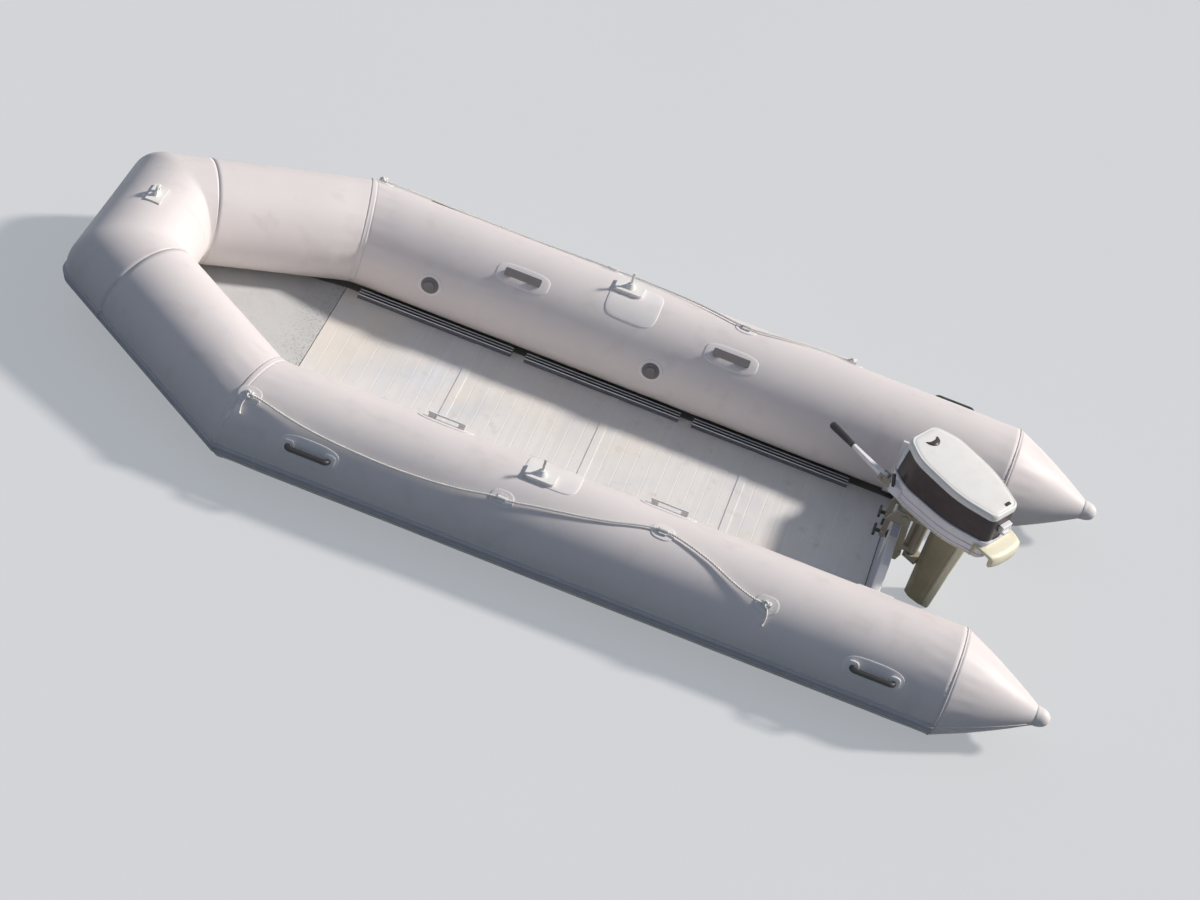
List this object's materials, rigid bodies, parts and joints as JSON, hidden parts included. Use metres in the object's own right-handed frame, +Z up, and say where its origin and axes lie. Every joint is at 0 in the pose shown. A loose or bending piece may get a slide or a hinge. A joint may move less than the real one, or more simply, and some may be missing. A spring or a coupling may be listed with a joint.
{
  "type": "inflatable boat with outboard motor",
  "caption": "Inflatable fabric boat with blunt raised bow, coned sterns, slatted metal floor and wooden transom, with a tilting, steering tiller outboard motor.",
  "frame": {"origin": "amidships on the centreline, on the waterline plane", "axes": "+X towards the bow, +Y to port, +Z up"},
  "size_m": [4.3322, 1.8022, 1.068],
  "materials": {
    "hull_fabric": "smooth coated fabric, satin",
    "bottom_fabric": "smooth coated fabric, satin",
    "patch_fabric": "smooth coated fabric, satin",
    "strake_rubber": "matt moulded rubber",
    "cap_rubber": "matt moulded rubber",
    "grey_rubber": "matt moulded rubber",
    "white_plastic": "matt moulded",
    "black_plastic": "matt moulded",
    "rope": "laid white rope",
    "floor_metal": "worn mill finish",
    "rail_metal": "satin extrusion",
    "transom_wood": "painted plywood",
    "stainless": "polished",
    "clamp_paint": "worn paint on cast alloy",
    "steel": "dull plated",
    "cream_paint": "gloss paint",
    "cowl_white": "gloss moulding",
    "cowl_grey": "gloss moulding",
    "cowl_dark": "gloss band",
    "engine_metal": "cast",
    "leg_paint": "gloss paint",
    "propeller_paint": "worn paint on cast alloy"
  },
  "bodies": {
    "root": {"bow_tube": "hull_fabric", "quarter_tube_port": "hull_fabric", "quarter_tube_starboard": "hull_fabric", "side_tube_port": "hull_fabric", "side_tube_starboard": "hull_fabric", "cone_port": "hull_fabric", "cone_starboard": "hull_fabric", "cone_caps": "cap_rubber", "rub_strake_bow": "strake_rubber", "rub_strake_port": "strake_rubber", "rub_strake_starboard": "strake_rubber", "hull_bottom": "bottom_fabric", "keel_strake": "strake_rubber", "floor_panel_1": "floor_metal", "floor_panel_2": "floor_metal", "floor_panel_3": "floor_metal", "floor_panel_4": "floor_metal", "floor_joints": "rail_metal", "stringer_port": "rail_metal", "stringer_starboard": "rail_metal", "bow_board": "floor_metal", "transom_board": "transom_wood", "transom_holders": "grey_rubber", "clamp_pads": "white_plastic", "drain_bungs": "black_plastic", "fabric_patches": "patch_fabric", "lifeline_eyes": "white_plastic", "lifeline_port": "rope", "lifeline_starboard": "rope", "outer_handles": "black_plastic", "inner_handles": "grey_rubber", "valves": "grey_rubber", "oarlock_port": "white_plastic", "oarlock_starboard": "white_plastic", "bow_tow_eye": "white_plastic", "clamp_bracket": "clamp_paint", "clamp_screws": "steel"},
    "swivel": {"swivel_bracket": "clamp_paint"},
    "motor": {"steering_shaft": "clamp_paint", "bottom_pan": "cream_paint", "lower_cowl": "cowl_grey", "cowl_band": "cowl_dark", "cowl_top": "cowl_white", "powerhead": "engine_metal", "drive_leg": "leg_paint", "gearcase": "leg_paint", "tiller_bracket": "clamp_paint", "starter_grip": "black_plastic", "carry_handle": "cream_paint"},
    "tiller": {"tiller_arm": "cream_paint", "tiller_grip": "black_plastic"},
    "propeller": {"propeller": "propeller_paint"}
  },
  "joints": [
    {"name": "tilt", "type": "hinge", "parent": "root", "child": "swivel", "pos_m": [-1.372, 0, 0.385], "axis": [0, 1, 0], "range_deg": [0, 65]},
    {"name": "steer", "type": "hinge", "parent": "swivel", "child": "motor", "pos_m": [-1.452, 0, 0.385], "axis": [0, 0, 1], "range_deg": [-10, 70]},
    {"name": "tiller_fold", "type": "hinge", "parent": "motor", "child": "tiller", "pos_m": [-1.2316, -0.03025, 0.475], "axis": [-0.5, -0.866, 0], "range_deg": [0, 85]},
    {"name": "propeller_spin", "type": "hinge", "parent": "motor", "child": "propeller", "pos_m": [-1.68756, 0.136, -0.227], "axis": [0.866, -0.5, 0], "continuous": true}
  ]
}
